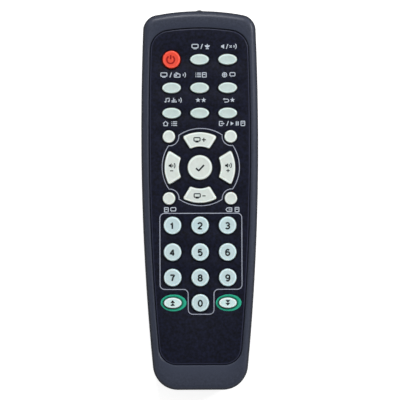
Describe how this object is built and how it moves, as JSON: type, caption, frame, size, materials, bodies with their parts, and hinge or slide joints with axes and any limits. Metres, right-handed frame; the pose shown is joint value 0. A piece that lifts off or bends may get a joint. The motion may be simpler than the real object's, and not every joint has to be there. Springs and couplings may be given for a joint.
{
  "type": "remote control",
  "caption": "Slim hand-held remote control with a waisted two-part case, an inset key panel, a direction pad, a digit pad and a sliding battery door in its back.",
  "frame": {"origin": "middle of the footprint, on the flat back of the case", "axes": "+X across the case, +Y to the head end with the infrared lamp, +Z out of the key face"},
  "size_m": [0.056, 0.182, 0.0223],
  "materials": {
    "case_front": "satin moulded ABS",
    "case_back": "fine-textured moulded ABS",
    "door": "fine-textured moulded ABS",
    "face_plate": "fine matt sheet",
    "keys": "smooth silicone",
    "key_red": "smooth silicone",
    "mat": "silicone",
    "board": "solder mask",
    "chip": "epoxy",
    "resonator": "dipped",
    "capacitor": "satin",
    "resistors": "matt",
    "lamp": "clear tinted epoxy",
    "cells": "printed sleeve",
    "contacts": "nickel plated",
    "springs": "nickel plated wire",
    "screw": "zinc plated"
  },
  "bodies": {
    "case": {"front_shell": "case_front", "rear_shell": "case_back", "face_plate": "face_plate", "keypad_mat": "mat", "circuit_board": "board", "controller_chip": "chip", "resonator": "resonator", "capacitor": "capacitor", "transistor": "chip", "resistors": "resistors", "ir_led": "lamp", "battery_left": "cells", "battery_right": "cells", "bridge_contact": "contacts", "positive_contact": "contacts", "negative_contact": "contacts", "tail_spring": "springs", "head_spring": "springs", "case_screw": "screw"},
    "battery_door": {"battery_door": "door"},
    "key_power": {"key_power": "key_red"},
    "key_input": {"key_input": "keys"},
    "key_mute": {"key_mute": "keys"},
    "key_radio": {"key_radio": "keys"},
    "key_guide": {"key_guide": "keys"},
    "key_language": {"key_language": "keys"},
    "key_audio": {"key_audio": "keys"},
    "key_favourites": {"key_favourites": "keys"},
    "key_back": {"key_back": "keys"},
    "key_menu": {"key_menu": "keys"},
    "key_exit": {"key_exit": "keys"},
    "key_info": {"key_info": "keys"},
    "key_clear": {"key_clear": "keys"},
    "key_ok": {"key_ok": "keys"},
    "key_channel_up": {"key_channel_up": "keys"},
    "key_volume_down": {"key_volume_down": "keys"},
    "key_channel_down": {"key_channel_down": "keys"},
    "key_volume_up": {"key_volume_up": "keys"},
    "key_page_up": {"key_page_up": "keys"},
    "key_page_down": {"key_page_down": "keys"},
    "key_0": {"key_0": "keys"},
    "key_1": {"key_1": "keys"},
    "key_2": {"key_2": "keys"},
    "key_3": {"key_3": "keys"},
    "key_4": {"key_4": "keys"},
    "key_5": {"key_5": "keys"},
    "key_6": {"key_6": "keys"},
    "key_7": {"key_7": "keys"},
    "key_8": {"key_8": "keys"},
    "key_9": {"key_9": "keys"}
  },
  "joints": [
    {"name": "door_slide", "type": "slide", "parent": "case", "child": "battery_door", "axis": [0, -1, 0], "range_m": [0, 0.064]},
    {"name": "key_power_press", "type": "slide", "parent": "case", "child": "key_power", "axis": [0, 0, -1], "range_m": [0, 0.001], "stiffness_N_per_m": 800},
    {"name": "key_input_press", "type": "slide", "parent": "case", "child": "key_input", "axis": [0, 0, -1], "range_m": [0, 0.001], "stiffness_N_per_m": 800},
    {"name": "key_mute_press", "type": "slide", "parent": "case", "child": "key_mute", "axis": [0, 0, -1], "range_m": [0, 0.001], "stiffness_N_per_m": 800},
    {"name": "key_radio_press", "type": "slide", "parent": "case", "child": "key_radio", "axis": [0, 0, -1], "range_m": [0, 0.001], "stiffness_N_per_m": 800},
    {"name": "key_guide_press", "type": "slide", "parent": "case", "child": "key_guide", "axis": [0, 0, -1], "range_m": [0, 0.001], "stiffness_N_per_m": 800},
    {"name": "key_language_press", "type": "slide", "parent": "case", "child": "key_language", "axis": [0, 0, -1], "range_m": [0, 0.001], "stiffness_N_per_m": 800},
    {"name": "key_audio_press", "type": "slide", "parent": "case", "child": "key_audio", "axis": [0, 0, -1], "range_m": [0, 0.001], "stiffness_N_per_m": 800},
    {"name": "key_favourites_press", "type": "slide", "parent": "case", "child": "key_favourites", "axis": [0, 0, -1], "range_m": [0, 0.001], "stiffness_N_per_m": 800},
    {"name": "key_back_press", "type": "slide", "parent": "case", "child": "key_back", "axis": [0, 0, -1], "range_m": [0, 0.001], "stiffness_N_per_m": 800},
    {"name": "key_menu_press", "type": "slide", "parent": "case", "child": "key_menu", "axis": [0, 0, -1], "range_m": [0, 0.001], "stiffness_N_per_m": 800},
    {"name": "key_exit_press", "type": "slide", "parent": "case", "child": "key_exit", "axis": [0, 0, -1], "range_m": [0, 0.001], "stiffness_N_per_m": 800},
    {"name": "key_info_press", "type": "slide", "parent": "case", "child": "key_info", "axis": [0, 0, -1], "range_m": [0, 0.001], "stiffness_N_per_m": 800},
    {"name": "key_clear_press", "type": "slide", "parent": "case", "child": "key_clear", "axis": [0, 0, -1], "range_m": [0, 0.001], "stiffness_N_per_m": 800},
    {"name": "key_ok_press", "type": "slide", "parent": "case", "child": "key_ok", "axis": [0, 0, -1], "range_m": [0, 0.001], "stiffness_N_per_m": 800},
    {"name": "key_channel_up_press", "type": "slide", "parent": "case", "child": "key_channel_up", "axis": [0, 0, -1], "range_m": [0, 0.001], "stiffness_N_per_m": 800},
    {"name": "key_volume_down_press", "type": "slide", "parent": "case", "child": "key_volume_down", "axis": [0, 0, -1], "range_m": [0, 0.001], "stiffness_N_per_m": 800},
    {"name": "key_channel_down_press", "type": "slide", "parent": "case", "child": "key_channel_down", "axis": [0, 0, -1], "range_m": [0, 0.001], "stiffness_N_per_m": 800},
    {"name": "key_volume_up_press", "type": "slide", "parent": "case", "child": "key_volume_up", "axis": [0, 0, -1], "range_m": [0, 0.001], "stiffness_N_per_m": 800},
    {"name": "key_page_up_press", "type": "slide", "parent": "case", "child": "key_page_up", "axis": [0, 0, -1], "range_m": [0, 0.001], "stiffness_N_per_m": 800},
    {"name": "key_page_down_press", "type": "slide", "parent": "case", "child": "key_page_down", "axis": [0, 0, -1], "range_m": [0, 0.001], "stiffness_N_per_m": 800},
    {"name": "key_0_press", "type": "slide", "parent": "case", "child": "key_0", "axis": [0, 0, -1], "range_m": [0, 0.001], "stiffness_N_per_m": 800},
    {"name": "key_1_press", "type": "slide", "parent": "case", "child": "key_1", "axis": [0, 0, -1], "range_m": [0, 0.001], "stiffness_N_per_m": 800},
    {"name": "key_2_press", "type": "slide", "parent": "case", "child": "key_2", "axis": [0, 0, -1], "range_m": [0, 0.001], "stiffness_N_per_m": 800},
    {"name": "key_3_press", "type": "slide", "parent": "case", "child": "key_3", "axis": [0, 0, -1], "range_m": [0, 0.001], "stiffness_N_per_m": 800},
    {"name": "key_4_press", "type": "slide", "parent": "case", "child": "key_4", "axis": [0, 0, -1], "range_m": [0, 0.001], "stiffness_N_per_m": 800},
    {"name": "key_5_press", "type": "slide", "parent": "case", "child": "key_5", "axis": [0, 0, -1], "range_m": [0, 0.001], "stiffness_N_per_m": 800},
    {"name": "key_6_press", "type": "slide", "parent": "case", "child": "key_6", "axis": [0, 0, -1], "range_m": [0, 0.001], "stiffness_N_per_m": 800},
    {"name": "key_7_press", "type": "slide", "parent": "case", "child": "key_7", "axis": [0, 0, -1], "range_m": [0, 0.001], "stiffness_N_per_m": 800},
    {"name": "key_8_press", "type": "slide", "parent": "case", "child": "key_8", "axis": [0, 0, -1], "range_m": [0, 0.001], "stiffness_N_per_m": 800},
    {"name": "key_9_press", "type": "slide", "parent": "case", "child": "key_9", "axis": [0, 0, -1], "range_m": [0, 0.001], "stiffness_N_per_m": 800}
  ]
}
